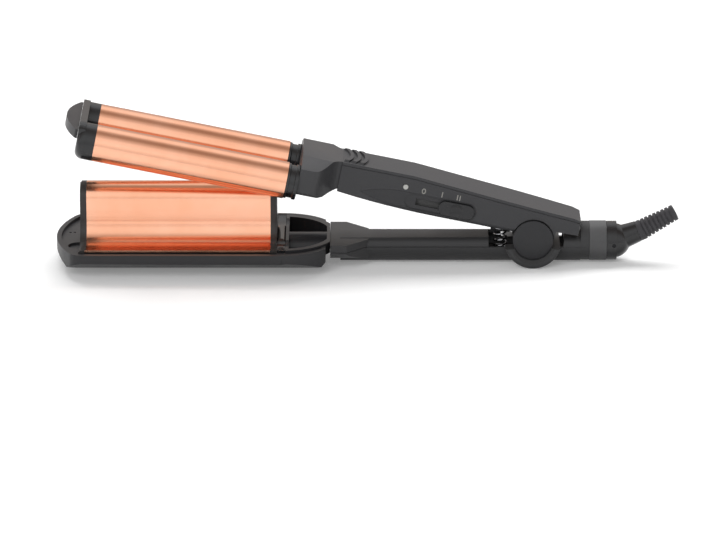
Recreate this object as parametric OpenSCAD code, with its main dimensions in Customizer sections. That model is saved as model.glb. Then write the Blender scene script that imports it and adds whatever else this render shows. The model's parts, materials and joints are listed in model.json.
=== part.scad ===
// Two-armed hair waver: a lower arm with a ridged hot plate and an upper arm with two hot tubes.
// X runs along the tool with the cord end at +X, Y across it, Z up. The lower arm lies along X,
// the upper arm is drawn closed, parallel to it, and then opened about the hinge.

/* [Hinge and opening] */
// Place of the hinge axis along the tool
hinge_x = 98.7; // [90:0.1:110]
// Height of the hinge axis above the table
hinge_z = 17.1; // [17:0.1:18.5]
// Angle between the arms at rest, on the open stop
open_angle = 11.6; // [4:0.1:16]
// Radius of the hinge pin
pin_r = 3; // [2:0.1:3.6]
// Wall of the bronze bush round the pin
bush_wall = 1.3; // [0.8:0.1:2]
// Radius of the hinge ears and their covers
ear_r = 12; // [11:0.1:13]
// Half the distance over the two hinge covers
cover_y = 16.5; // [16:0.1:17.5]
// Thickness of a hinge cover at its middle
cover_t = 2.2; // [1.6:0.1:3]
// Half the width of the hinge lug of the upper arm
lug_y = 10.6; // [8:0.1:11]
// Radius of the round housing under the hinge
bulge_r = 17.1; // [16.5:0.1:17.1]
// Half the width of the round housing
bulge_y = 18.3; // [17.6:0.1:19.5]

/* [Lower plate] */
// Distance from the hinge axis forward to the plate's rear end
plate_reach = 156.6; // [150:0.1:170]
// Length of the copper-coloured plate and its ridge
plate_len = 109.8; // [95:0.1:115]
// Half the width of the ridge between the troughs
ridge_half = 9.5; // [8.5:0.1:10]
// Height of the ridge's crest
crest_z = 49.7; // [44:0.1:52]
// Height of the lowest line of the troughs
trough_z = 14.95; // [14.6:0.01:15]
// Radius of the shallow outer side of a trough
outer_r = 41.7; // [35:0.1:60]
// Half the width over the plate's lips
lip_y = 37; // [36:0.1:38]
// Thickness of the plate's sheet
plate_t = 1.2; // [0.8:0.1:1.6]
// Thickness of the black end walls of the plate
end_wall_t = 3.9; // [3:0.1:5]

/* [Base cover] */
// Length of the tongue in front of the front end wall
tongue_len = 14.5; // [12:0.1:18]
// Radius of the tongue's corners in plan
tongue_r = 10; // [8:0.1:14]
// Radius of the tongue's bowed front edge
tongue_bow_r = 80; // [60:0.5:120]
// Half the width of the base cover
cover_half = 42.6; // [41:0.1:45]
// Height of the base cover's rim
rim_z = 16.3; // [16:0.1:16.6]
// Width of the raised rim round the tongue
rim_w = 2.8; // [2:0.1:3.4]
// Depth of the tongue's face below the rim
tongue_drop = 1.9; // [1.5:0.1:2.5]
// Radius of the belly across the tool
belly_r = 83.4; // [75:0.1:95]
// How far the belly's arc is cut by the flat it rests on
belly_flat = 0.6; // [0.4:0.05:1]
// Radius of the belly's rise towards the tongue
nose_r = 67.5; // [60:0.5:75]
// Wall of the base cover
cover_wall = 2.2; // [1.6:0.1:3]

/* [Neck] */
// Length of the neck from the plate's rear end wall to the handle
neck_len = 31.7; // [28:0.1:36]
// Width of the glossy crossbar along the tool
bar_w = 5; // [4:0.1:6]
// Half the length of the glossy crossbar
bar_y = 36; // [34:0.1:37]
// Height of the crossbar
bar_z = 18; // [17.4:0.1:18.6]
// Radius of the neck's curved sides in plan
neck_r = 32.7; // [31:0.1:36]
// Height of the neck's ribs
fork_z = 17.4; // [16.6:0.1:18]
// Thickness of the neck's curved ribs
rib_t = 4; // [3:0.1:5]
// Half the width of the wiring conduit
conduit_y = 9.6; // [8:0.1:11]

/* [Lower handle] */
// Radius of the lower handle's round underside
grip_r = 12; // [11:0.1:12.5]
// Height of the lower handle's centre line
grip_z = 12.6; // [12.5:0.1:13.2]
// Height of the lower handle's flat top
grip_top = 17; // [16:0.1:17.2]
// Radius of the top's long edges
grip_edge_r = 4.4; // [2:0.1:4.4]
// Height of the seam between the shells
seam_z = 11.8; // [11:0.1:12.2]
// Wall of the handle shells
wall = 2; // [1.4:0.1:2.6]
// Length of the flared head of the handle
flare_len = 23; // [18:0.1:28]
// Half the width of the flared head
flare_y = 24; // [20:0.1:25]

/* [Upper tubes] */
// Radius of the hot tubes
tube_r = 11; // [10:0.1:11.2]
// Distance of each tube's axis from the middle
tube_y = 21.85; // [21.6:0.05:23]
// Height of the tube axes with the arms closed
tube_z = 26.4; // [26.2:0.1:28]
// Wall of the tubes
tube_t = 0.9; // [0.6:0.1:1.4]
// How far the tubes' rear end lies behind the plate's rear end
tube_lag = 4.5; // [2:0.1:6]
// Length of the tubes
tube_len = 115.4; // [100:0.1:120]
// Length of the tubes' front caps
cap_len = 10.8; // [9:0.1:12]
// Radius of the front caps' round edge
cap_edge_r = 4.6; // [3:0.1:6]
// Length of the glossy collars behind the tubes
collar_len = 7.1; // [6:0.1:9]
// Radius of the glossy collars
collar_r = 10.5; // [9.5:0.1:11]

/* [Cool tip] */
// Half the width of the cool tip
tip_y = 29.5; // [28:0.1:31]
// Length of the cool tip in front of the caps
tip_len = 8.6; // [7:0.1:10]
// Radius of the cool tip's bowed front edge
tip_bow_r = 62; // [50:0.5:90]
// Thickness of the cool tip
tip_t = 5.4; // [4:0.1:6.5]
// Height of the cool tip's underside with the arms closed
tip_z = 29.1; // [28:0.1:31]
// Width of the bridge bar along the tool
bridge_w = 4.1; // [3:0.1:5]
// How far the bridge bar stands over the caps
bridge_over = 0.8; // [0.6:0.1:1.6]

/* [Upper head] */
// Length of the head
head_len = 24.3; // [20:0.1:28]
// Half the greatest width of the head
head_y = 30; // [28:0.1:32]
// Half the width of the head's flat top
head_top_y = 17.4; // [14:0.1:20]
// Height of the head's top with the arms closed
head_top = 42.6; // [41:0.1:44]
// Height of the head's shoulders with the arms closed
head_shoulder = 37.3; // [35:0.1:39]
// Height of the head's underside with the arms closed
head_under = 20.8; // [20.4:0.1:22]

/* [Upper handle] */
// Half the width of the upper handle
handle_y = 14.4; // [14:0.1:14.6]
// Half the width of the upper handle's tail end
tail_y = 12; // [11.2:0.1:13]
// Height of the flat top with the arms closed
handle_top = 41.9; // [40:0.1:43]
// Height of the top at the tail with the arms closed
tail_top = 34.5; // [33:0.1:36]
// Height of the underside by the hinge with the arms closed
handle_under = 18.9; // [18.6:0.1:19.6]
// Height of the tail's underside with the arms closed
tail_under = 24.4; // [24:0.1:27]
// Length of the tail behind the hinge axis
tail_len = 26; // [22:0.1:26.4]
// Radius of the handle's lower long edges
handle_edge_r = 4; // [3:0.1:5]
// Thickness of the lid that closes the handle
lid_t = 1.6; // [1.2:0.1:2.2]
// Number of thumb ribs across the lid
thumb_count = 3; // [2:1:5]
// Distance from one thumb rib to the next
thumb_pitch = 4.4; // [4:0.1:5.4]
// Height of the thumb ribs
thumb_h = 1.3; // [0.5:0.1:1.8]

/* [Controls] */
// Front end of the control panel along the tool
panel_x0 = -8.3; // [-14:0.1:-4]
// Rear end of the control panel along the tool
panel_x1 = 62; // [58:0.1:66]
// Height of the switch line with the arms closed
switch_z = 26.5; // [25.8:0.1:27.4]
// Half the height of the panel at its widest
panel_half = 5; // [4.6:0.1:5.6]
// Thickness of the panel
panel_t = 1.2; // [0.8:0.1:1.6]
// Place of the slide knob's middle at position II
knob_x = 49.9; // [48:0.1:51]
// Length of the slide knob
knob_len = 21.6; // [18:0.1:22]
// Height of the slide knob
knob_h = 8.5; // [7:0.1:8.8]
// How far the knob stands out of the panel
knob_out = 2; // [1.2:0.1:3]
// Travel of the knob from II to 0
switch_travel = 20; // [16:0.5:20]
// Radius of the indicator lens
lens_r = 1.5; // [1:0.1:2.2]
// Place of the indicator lens along the tool
lens_x = 17.6; // [14:0.1:22]
// Height of the indicator lens with the arms closed
lens_z = 34.3; // [33:0.1:36]

/* [Rear end and cord exit] */
// Distance from the hinge axis back to the rear cylinder
rear_reach = 28.8; // [28.6:0.1:32]
// Radius of the rear cylinder
rear_r = 11.7; // [11.4:0.1:12]
// Length of the shells' glossy part of the rear cylinder
rear_gloss_len = 5.1; // [4:0.1:7]
// Length of the matte ring
band_len = 10.5; // [9:0.1:12]
// Length of the glossy turning collar
collar_end_len = 6; // [5:0.1:7]
// Radius of the ball that the cord guard tilts on
ball_r = 10.35; // [9.8:0.05:10.4]
// Tilt of the ball's neck above the tool's line at rest
neck_tilt = 21; // [0:1:30]
// Tilt of the ribbed sleeve above the tool's line at rest
sleeve_tilt = 29; // [0:1:34]
// Distance from the ball's centre to the foot of the sleeve
neck_reach = 17; // [15:0.1:19]
// Length of the ribbed sleeve
sleeve_len = 23.7; // [18:0.1:32]
// Radius of the sleeve at its foot
sleeve_r0 = 6.3; // [5.6:0.1:7]
// Radius of the sleeve at its tip
sleeve_r1 = 4.8; // [4.4:0.1:5.4]
// Number of ribs on the sleeve
sleeve_ribs = 9; // [6:1:11]
// Radius of the bore for the cord
cord_bore_r = 3.3; // [2.6:0.1:3.5]

/* [Inside] */
// Length of the heater bar in each tube and in the ridge
heater_len = 92; // [80:1:96]
// Radius of the return spring's coil
spring_r = 3.6; // [3:0.1:4]
// Radius of the return spring's wire
wire_r = 0.6; // [0.4:0.05:0.7]
// Turns of the return spring
spring_turns = 5; // [4:0.5:6]
// Distance from the hinge axis forward to the return spring
spring_reach = 19.2; // [18.6:0.1:20]

/* [Fits] */
// Gap between fixed pieces that seat on each other
fit = 0.1; // [0.05:0.01:0.15]
// Radial gap of the turning fits
running = 0.05; // [0.02:0.01:0.09]
// Gap between pieces that move past each other
free = 0.6; // [0.5:0.1:0.8]

/* [Hidden] */
$fn = 64;
far = 500;

// Along the lower arm
plate_x1 = hinge_x - plate_reach;
plate_x0 = plate_x1 - plate_len;
wall_x0 = plate_x0 - end_wall_t;
wall_x1 = plate_x1 + end_wall_t;
tongue_x = wall_x0 - tongue_len;
bar_x1 = wall_x1 + bar_w;
neck_x1 = wall_x1 + neck_len;
cover_x1 = neck_x1 - 2.7;
rear_x0 = hinge_x + rear_reach;
rear_x1 = rear_x0 + rear_gloss_len;
band_x1 = rear_x1 + band_len;
exit_x = band_x1 + collar_end_len;

// Across the lower plate
trough_r = tube_y - ridge_half;
trough_cz = trough_z + trough_r;
outer_cz = trough_z + outer_r;
ridge_cz = crest_z - ridge_half;
opening_y = lip_y - 1.5;
deck_z = outer_cz - sqrt(pow(outer_r + plate_t, 2) - pow(opening_y - tube_y, 2)) - fit;
edge_step = 0.8;
wall_plug = 3;
skirt_z = 7.5;

// Base cover and neck
tongue_edge_z = 10.6;
nose_cx = tongue_x + sqrt(pow(nose_r, 2) - pow(nose_r - tongue_edge_z, 2));
slope_x0 = cover_x1 - 9;
slope_z = 8;
neck_cx = wall_x1 + bar_w / 2;
neck_cy = cover_half - neck_r;
fork_cy = bar_y - neck_r;
bay_z = 6;
floor_top = slope_z + 2.4;
neck_wire_y = 3.7;
neck_wire_z = floor_top + 3.2;
wire_y = 6.2;
wire_z = 7.6;
wire_bore = 2.1;
cover_screw_in = 3.5;
cover_screw_x = [wall_x0 + cover_screw_in, wall_x1 - cover_screw_in];
cover_screw_top = 15;
screw_r = 1.5;
head_r = 2.8;
boss_r = 3.4;

// Lower handle and hinge
grip_x0 = neck_x1 + 6;
pocket_x0 = hinge_x - spring_reach - 7.2;
pocket_y = 7.5;
flare_z = 3.4;
flare_belly_r = 42;
spring_x = hinge_x - spring_reach;
seat_z = 4.6;
spring_top = hinge_z + spring_reach * sin(open_angle) + (handle_under - hinge_z) * cos(open_angle) - 1.3;
cover_seat = cover_y - cover_t;
lug_r = pin_r + bush_wall + 3.2;
lug_gap = 0.3;
hinge_room_r = bulge_r + 1.7;
bulge_top = seam_z + 0.7;
handle_screw_x = [neck_x1 + 14, hinge_x - 40];
handle_screw_seat = 5;
handle_screw_top = 14.6;

// Rear end
web_x0 = rear_x1 - 2;
stem_r = 5.6;
flange_r = 7.5;
spigot_r = 9.4;
hub_r = 10.65;
hub_x0 = rear_x1 + 4.2;
ball_x = exit_x - 1.7;
ball_cut = 4;
seat_gap = 0.1;
tilt_pin_r = 1.2;

// Upper arm, closed
tube_x1 = plate_x1 + tube_lag;
tube_x0 = tube_x1 - tube_len;
cap_x0 = tube_x0 - cap_len;
bridge_x0 = cap_x0;
tip_x0 = bridge_x0 - tip_len;
head_x0 = tube_x1 + collar_len;
head_x1 = head_x0 + head_len;
socket_r = tube_z - head_under - 1.1;
tail_x = hinge_x + tail_len;
bend_x = head_x1 + 44;
under_x = hinge_x - 42;
under_r = 668;
taper_x = hinge_x - 28;
thumb_x = head_x1 + 6.6;
lid_screw_x = [head_x1 + 34, hinge_x - 34];
board_z = 33.2;
lid_screw_seat = 22;
lid_boss_top = 30;
lid_screw_top = 35;
side_y = handle_y - wall;
track_y = handle_y - 0.7;
knob_gap = 0.25;
stem_x = 4;
stem_z = 1.5;

copper = "#f5b99a";
matte = "#3c3c3e";
grey = "#58585a";
gloss = "#1c1c1e";
steel = "#b9bcc0";

// ---------- helpers ----------

// Extrudes an outline drawn in Y and Z from x0 to x1.
module along_x(x0, x1) {
    translate([x0, 0, 0]) rotate([90, 0, 90]) linear_extrude(x1 - x0) children();
}

// Extrudes an outline drawn in X and Z from y0 to y1.
module along_y(y0, y1) {
    translate([0, y1, 0]) rotate([90, 0, 0]) linear_extrude(y1 - y0) children();
}

// A round bar along X.
module rod_x(r, x0, x1) {
    translate([x0, 0, 0]) rotate([0, 90, 0]) cylinder(r = r, h = x1 - x0);
}

// A round bar along Y.
module rod_y(r, y0, y1) {
    translate([0, y0, 0]) rotate([-90, 0, 0]) cylinder(r = r, h = y1 - y0);
}

module both_sides() {
    children();
    mirror([0, 1, 0]) children();
}

module both_flat() {
    children();
    mirror([1, 0]) children();
}

module at_hinge() {
    translate([hinge_x, 0, hinge_z]) children();
}

// Turns the upper arm from closed to its rest on the open stop.
module opened() {
    at_hinge() rotate([0, open_angle, 0]) translate([-hinge_x, 0, -hinge_z]) children();
}

// A box given by its low and high corners.
module block(low, high) {
    translate(low) cube(high - low);
}

// A disc about the Y axis from y0 to y1 with its edge at y1 rounded by e.
module round_disc(r, y0, y1, e) {
    rod_y(r, y0, y1 - e);
    rod_y(r - e, y0, y1);
    translate([0, y1 - e, 0]) rotate([-90, 0, 0]) rotate_extrude() intersection() {
        translate([r - e, 0]) circle(e);
        translate([r - e, 0]) square(e);
    }
}

// ---------- lower plate ----------

// The space over the right-hand trough, with the surface lowered by t.
module trough_space(t) {
    translate([tube_y, trough_cz]) circle(trough_r + t, $fn = 96);
    intersection() {
        translate([tube_y, outer_cz]) circle(outer_r + t, $fn = 180);
        translate([tube_y, 0]) square([far, far]);
    }
    translate([ridge_half - t, trough_cz]) square([far, far]);
}

// Everything under the plate's surface, lowered by t, down to the height low.
module plate_outline(t, low = skirt_z) {
    difference() {
        translate([-lip_y, low]) square([2 * lip_y, ridge_cz - low]);
        both_flat() trough_space(t);
    }
    translate([0, ridge_cz]) circle(ridge_half - t);
}

module lower_plate() {
    color(copper) along_x(plate_x0, plate_x1) difference() {
        plate_outline(0);
        plate_outline(plate_t, skirt_z - 1);
    }
}

// The room for skirts between the lips' seats and above the belly's floor.
module inside_opening() {
    intersection() {
        translate([-opening_y + fit, skirt_z]) square([2 * (opening_y - fit), far]);
        translate([0, belly_r - belly_flat]) circle(belly_r - cover_wall - fit, $fn = 240);
    }
}

// An end wall with its outer face at x = 0 and its plug towards +X.
module end_wall() {
    module whole(t) {
        difference() {
            plate_outline(t);
            translate([-far / 2, -far + deck_z + fit]) square([far, far]);
        }
        intersection() {
            plate_outline(t);
            inside_opening();
        }
    }
    difference() {
        union() {
            along_x(0, edge_step) whole(edge_step);
            along_x(edge_step, end_wall_t) whole(0);
            along_x(end_wall_t, end_wall_t + wall_plug) intersection() {
                plate_outline(plate_t + fit);
                inside_opening();
            }
        }
        wire_hole(-1, end_wall_t + wall_plug + 1);
        translate([cover_screw_in, 0, 0]) cylinder(r = screw_r + fit, h = cover_screw_top);
    }
}

module front_end_wall() {
    color(matte) translate([wall_x0, 0, 0]) end_wall();
}

module rear_end_wall() {
    color(matte) translate([wall_x1, 0, 0]) mirror([1, 0, 0]) end_wall();
}

module ridge_heater() {
    half = ridge_half - plate_t - fit;
    middle = (plate_x0 + plate_x1) / 2;
    color(steel) difference() {
        block([middle - heater_len / 2, -half, 24], [middle + heater_len / 2, half, 36]);
        block([middle - heater_len, -half + 2, 26.5], [middle + heater_len, half - 2, 33.5]);
    }
    color("ivory") block([middle - heater_len / 2 + 2, -half + 2 + fit, 28.6],
        [middle + heater_len / 2 - 2, half - 2 - fit, 31.4]);
}

module thermal_fuse() {
    middle = (plate_x0 + plate_x1) / 2;
    color(steel) translate([0, 0, 24 - 2 - fit]) rod_x(2, middle + 8, middle + 20);
}

// ---------- base cover ----------

// A plan outline with a bowed front end, drawn in by t: an arc of radius bow from its tip at x0,
// corners of radius r, then straight sides at half from the middle to x1.
module bowed_plan(x0, x1, half, bow, r, t) {
    corner = x0 + bow - sqrt(pow(bow - r, 2) - pow(half - r, 2));
    turn = asin((half - r) / (bow - r));
    arc = [for (i = [-8:8]) [x0 + bow - (bow - t) * cos(turn * i / 8), (bow - t) * sin(turn * i / 8)]];
    side = [for (i = [1:8]) let (a = turn + (90 - turn) * i / 8)
        [corner - (r - t) * cos(a), half - r + (r - t) * sin(a)]];
    back = [for (i = [7:-1:0]) [side[i][0], -side[i][1]]];
    polygon(concat([[x1, -half + t]], back, arc, side, [[x1, half - t]]));
}

// The cover's outline from above, drawn in by t.
module cover_plan(t) {
    bowed_plan(tongue_x, neck_cx, cover_half, tongue_bow_r, tongue_r, t);
    for (s = [-1, 1]) translate([neck_cx, s * neck_cy]) circle(neck_r - t);
    translate([neck_cx, -neck_cy]) square([neck_r - t, 2 * neck_cy]);
}

// The cover's belly and rim across the tool, drawn in by t; its sides come from cover_plan.
module cover_section(t) {
    intersection() {
        translate([0, belly_r - belly_flat]) circle(belly_r - t, $fn = 240);
        translate([-cover_half - 4, t]) square([2 * cover_half + 8, rim_z - t]);
    }
}

// The height of the step under which a cover screw's head is sunk, above the rising nose.
function cover_screw_seat(x) = 1.3 + (x - head_r < nose_cx
    ? nose_r - sqrt(pow(nose_r, 2) - pow(x - head_r - nose_cx, 2)) : 0);

// The cover's outline from the side, drawn in by t; its front end comes from cover_plan.
module cover_profile(t) {
    intersection() {
        translate([nose_cx, nose_r]) circle(nose_r - t, $fn = 180);
        translate([tongue_x - 4, t]) square([nose_cx - tongue_x + 4, rim_z - t]);
    }
    polygon([[nose_cx, t], [slope_x0 - t / 2, t], [cover_x1 - t, slope_z], [cover_x1 - t, rim_z],
        [nose_cx, rim_z]]);
}

module cover_body(t) {
    intersection() {
        along_y(-far / 2, far / 2) cover_profile(t);
        along_x(tongue_x - 5, cover_x1 + 1) cover_section(t);
        linear_extrude(far) cover_plan(t);
    }
}

// The neck's outline from above, its sides drawn in by t and its ends by e.
module neck_plan(t, e) {
    intersection() {
        union() {
            for (s = [-1, 1]) translate([neck_cx, s * fork_cy]) circle(neck_r - t);
            translate([neck_cx, -fork_cy]) square([neck_r - t, 2 * fork_cy]);
        }
        translate([bar_x1 + e, -far / 2]) square([neck_x1 - bar_x1 - 2 * e, far]);
    }
}

module base_cover() {
    color(matte) difference() {
        cover_body(0);
        // hollow under the plate, around the screw bosses
        difference() {
            intersection() {
                cover_body(cover_wall);
                block([wall_x0 - fit, -far, 0], [slope_x0, far, deck_z - cover_wall]);
            }
            for (x = cover_screw_x) translate([x, 0, 0]) cylinder(r = boss_r, h = skirt_z - fit);
        }
        // opening for the plate, its end walls and the crossbar
        block([wall_x0 - fit, -opening_y, deck_z - cover_wall - 1],
            [bar_x1 + fit, opening_y, far]);
        // channel for the lips, inside the raised rim
        intersection() {
            translate([0, 0, deck_z]) linear_extrude(far) cover_plan(rim_w);
            block([wall_x0, -far, 0], [cover_x1 - rim_w, far, far]);
        }
        // recessed face of the tongue
        intersection() {
            translate([0, 0, rim_z - tongue_drop]) linear_extrude(far) cover_plan(rim_w);
            block([-far, -far, 0], [wall_x0 + fit, far, far]);
        }
        // bay for the neck
        intersection() {
            linear_extrude(far) neck_plan(-fit, -fit);
            neck_room(0);
        }
        tongue_marks();
        for (x = cover_screw_x) translate([x, 0, 0]) screw_hole(cover_screw_seat(x), skirt_z);
    }
}

// Two vent dots and a half-round pocket by the end wall, sunk into the tongue's face.
module tongue_marks() {
    face = rim_z - tongue_drop;
    for (x = [wall_x0 - 7, wall_x0 - 4.4]) translate([x, 9.6, face - 1.2]) cylinder(r = 0.9, h = 9, $fn = 24);
    translate([wall_x0 - 0.4, -16.5, face - 1.4]) cylinder(r = 6.6, h = 9);
}

// A hole from below for a screw whose head lies on a step at the height seat.
module screw_hole(seat, top) {
    translate([0, 0, -1]) cylinder(r = screw_r + fit, h = top + 2);
    translate([0, 0, -1]) cylinder(r = head_r + fit, h = seat + 1);
}

// A pan-head screw from below with its head under the step at the height seat.
module screw(seat, top) {
    translate([0, 0, seat - 1]) cylinder(r = head_r, h = 1 - fit);
    translate([0, 0, seat - 0.5]) cylinder(r = screw_r, h = top - seat + 0.5);
}

// Screws that draw the end walls, and the plate between them, down into the cover.
module cover_screws() {
    color(steel) for (x = cover_screw_x) translate([x, 0, 0]) screw(cover_screw_seat(x), cover_screw_top - 1);
}

// ---------- neck ----------

module wire_hole(x0, x1) {
    translate([0, neck_wire_y, neck_wire_z]) rod_x(wire_bore, x0, x1);
}

// The room for the neck above the cover's floor, which rises to the rear.
module neck_room(t) {
    intersection() {
        along_y(-far / 2, far / 2) polygon([[bar_x1 - 1, bay_z + t], [slope_x0 + 3.3, bay_z + t],
            [cover_x1, floor_top + t], [neck_x1 + 1, floor_top + t], [neck_x1 + 1, far], [bar_x1 - 1, far]]);
        along_x(bar_x1 - 1, neck_x1 + 1)
            translate([0, belly_r - belly_flat]) circle(belly_r - cover_wall - t, $fn = 240);
    }
}

module neck_bar() {
    r = bar_w / 2 - fit / 2;
    color(gloss) difference() {
        intersection() {
            along_y(-bar_y + 0.6, bar_y - 0.6) {
                translate([wall_x1 + bar_w / 2, bar_z - r]) circle(r);
                translate([wall_x1 + fit / 2, bay_z]) square([2 * r, bar_z - r - bay_z]);
            }
            along_x(wall_x1, bar_x1) union() {
                difference() {
                    plate_outline(0);
                    translate([-far / 2, -far + deck_z + fit]) square([far, far]);
                }
                inside_opening();
            }
            along_x(wall_x1, bar_x1) plate_outline(0);
        }
        wire_hole(wall_x1 - 1, bar_x1 + 1);
    }
}

module neck_fork() {
    front = bar_x1 + fit / 2;
    color(matte) difference() {
        intersection() {
            union() {
                linear_extrude(fork_z) difference() {
                    neck_plan(fit, fit);
                    neck_plan(rib_t, rib_t / 2);
                }
                along_x(front, neck_x1) translate([0, fork_z - conduit_y]) circle(conduit_y);
            }
            block([front, -far, 0], [neck_x1, far, far]);
            neck_room(fit);
        }
        // room for the collars with the arms closed
        on_tubes() rod_x(collar_r + free, front - 1, head_x0 + 1);
        wire_hole(front - 1, neck_x1 + 1);
    }
}

// ---------- lower handle ----------

// The points of two rounded upper corners, from the +Y side to the -Y side.
function high_corners(y, z, r) = [for (i = [0:23])
    let (side = i < 12 ? 1 : -1, a = side > 0 ? 90 * i / 11 : 90 - 90 * (i - 12) / 11)
    [side * (y - r + r * cos(a)), z - r + r * sin(a)]];

// The handle's outline across, drawn in by t: flat-topped for the top shell, round for the bottom.
module grip_outline(t, top) {
    if (top) polygon(concat([[-grip_r + t, grip_z - 3], [grip_r - t, grip_z - 3]],
        high_corners(grip_r - t, grip_top - t, grip_edge_r - t)));
    else translate([0, grip_z]) circle(grip_r - t);
}

// The flared head of the handle.
module flare() {
    intersection() {
        linear_extrude(grip_top - 0.4) polygon([[neck_x1, -flare_y], [neck_x1 + flare_len * 0.42, -flare_y],
            [neck_x1 + flare_len, -grip_r + 1], [neck_x1 + flare_len, grip_r - 1],
            [neck_x1 + flare_len * 0.42, flare_y], [neck_x1, flare_y]]);
        along_x(neck_x1, neck_x1 + flare_len) intersection() {
            translate([0, flare_z + flare_belly_r]) circle(flare_belly_r, $fn = 120);
            translate([-flare_y, 0]) square([2 * flare_y, grip_top]);
        }
    }
}

// The outside of both handle shells, from the neck to the rear cylinder's end.
module grip_body(top) {
    along_x(grip_x0, rear_x0) grip_outline(0, top);
    translate([0, 0, grip_z]) rod_x(rear_r, rear_x0 - 0.01, rear_x1);
    flare();
}

// The hollow of both handle shells, with a round room at its end for the collar's flange.
module grip_hollow(top) {
    along_x(grip_x0 + wall, rear_x0 + 1.1) grip_outline(wall, top);
    translate([0, 0, grip_z]) rod_x(flange_r + free, rear_x0 + 1, web_x0);
}

// The bores through the rear web for the collar's stem.
module rear_bores() {
    translate([0, 0, grip_z]) rod_x(stem_r + running, web_x0 - 1, rear_x1 + 9);
}

// The groove that shows as the seam between the handle's shells.
module grip_seam() {
    depth = 0.4;
    flare_x = neck_x1 + flare_len * 0.42;
    run = flare_len * 0.58 * (flare_y - grip_r) / (flare_y - grip_r + 1);
    plan = [[neck_x1 - 1, flare_y - depth], [flare_x, flare_y - depth], [flare_x + run, grip_r - depth],
        [hinge_x + 1, grip_r - depth]];
    back = [for (i = [3:-1:0]) [plan[i][0], -plan[i][1]]];
    difference() {
        block([neck_x1 + 1, -far, seam_z], [hinge_x, far, seam_z + 0.55]);
        linear_extrude(far) polygon(concat(plan, back));
    }
}

module below_seam() {
    block([-far, -far, -far], [far, far, seam_z]);
}

module lower_handle_bottom() {
    color(grey) difference() {
        union() {
            intersection() {
                grip_body(false);
                below_seam();
            }
            intersection() {
                at_hinge() both_sides() round_disc(bulge_r, 0, bulge_y, 2);
                block([-far, -far, 0], [far, far, bulge_top]);
            }
            at_hinge() both_sides() rod_y(ear_r, lug_y + lug_gap, cover_seat);
            // spigot that carries the matte ring
            translate([0, 0, grip_z]) rod_x(spigot_r, rear_x1 - 0.5, hub_x0 - 0.6);
        }
        difference() {
            intersection() {
                grip_hollow(false);
                below_seam();
            }
            // walls beside the hinge lug
            both_sides() block([hinge_x - bulge_r, lug_y + lug_gap, -1], [hinge_x + bulge_r, far, far]);
            translate([spring_x, 0, 0]) cylinder(r = spring_r + 1.2, h = seat_z);
            translate([spring_x, 0, 0]) cylinder(r = spring_r - wire_r - 0.3, h = seat_z + 2.4);
            for (x = handle_screw_x) translate([x, 0, 0]) cylinder(r = boss_r, h = far);
        }
        // room for the return spring and the lug
        block([pocket_x0, -pocket_y, seam_z - 1], [hinge_x - lug_r, pocket_y, far]);
        at_hinge() both_sides() rod_y(lug_r + free, -1, lug_y + lug_gap);
        block([hinge_x - lug_r - free, -lug_y - lug_gap, hinge_z],
            [hinge_x + lug_r + free, lug_y + lug_gap, far]);
        at_hinge() rod_y(pin_r, -far / 2, far / 2);
        // recesses for the hinge covers
        at_hinge() both_sides() rod_y(ear_r + fit, cover_seat, far / 2);
        at_hinge() both_sides() translate([0, cover_y, 0]) rotate([-90, 0, 0])
            cylinder(r1 = ear_r + fit, r2 = ear_r + fit + bulge_y - cover_y, h = bulge_y - cover_y + 0.01);
        rear_bores();
        wire_hole(neck_x1 - 1, grip_x0 + wall + 1);
        for (x = handle_screw_x) translate([x, 0, 0]) screw_hole(handle_screw_seat, seam_z);
    }
}

module lower_handle_top() {
    color(grey) difference() {
        intersection() {
            grip_body(true);
            block([-far, -far, seam_z + fit], [hinge_x, far, far]);
        }
        difference() {
            grip_hollow(true);
            for (x = handle_screw_x) translate([x, 0, 0]) cylinder(r = boss_r, h = far);
        }
        for (x = handle_screw_x) translate([x, 0, 0]) screw_hole(0, handle_screw_top);
        grip_seam();
        at_hinge() rod_y(hinge_room_r, -far / 2, far / 2);
        // pocket for the return spring, open to the top and to the switch side
        block([pocket_x0, -far, 0], [hinge_x, pocket_y, far]);
        wire_hole(neck_x1 - 1, grip_x0 + wall + 1);
    }
}

module rear_top_shell() {
    color(grey) difference() {
        intersection() {
            grip_body(true);
            block([hinge_x, -far, seam_z + fit], [far, far, far]);
        }
        grip_hollow(true);
        at_hinge() rod_y(hinge_room_r, -far / 2, far / 2);
        rear_bores();
        translate([0, 0, grip_z]) rod_x(spigot_r + fit, rear_x1 - 0.5 - fit, rear_x1 + 1);
    }
}

// Screws from below that draw the two handle shells together.
module handle_screws() {
    color(steel) for (x = handle_screw_x) translate([x, 0, 0]) screw(handle_screw_seat, handle_screw_top);
}

// Two wires from the ridge to the rear web, stepped down behind the neck.
module lower_wiring() {
    start = plate_x0 + 12;
    bend = grip_x0 + wall + 1.5;
    stop = web_x0 - 3.4;
    across = wire_y - neck_wire_y;
    down = neck_wire_z - wire_z;
    color("dimgray") for (dy = [-1, 1]) translate([0, dy, 0]) {
        translate([0, neck_wire_y, neck_wire_z]) rod_x(0.8, start, bend);
        translate([bend, neck_wire_y, neck_wire_z]) {
            sphere(0.9, $fn = 24);
            rotate([atan2(-across, -down), 0, 0]) cylinder(r = 0.8, h = sqrt(across * across + down * down));
        }
        translate([bend, wire_y, wire_z]) sphere(0.9, $fn = 24);
        translate([0, wire_y, wire_z]) rod_x(0.8, bend, stop);
    }
}

// ---------- hinge ----------

module hinge_pin() {
    color(steel) at_hinge() both_sides() {
        rod_y(pin_r - 0.01, 0, cover_seat - fit);
    }
}

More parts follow.
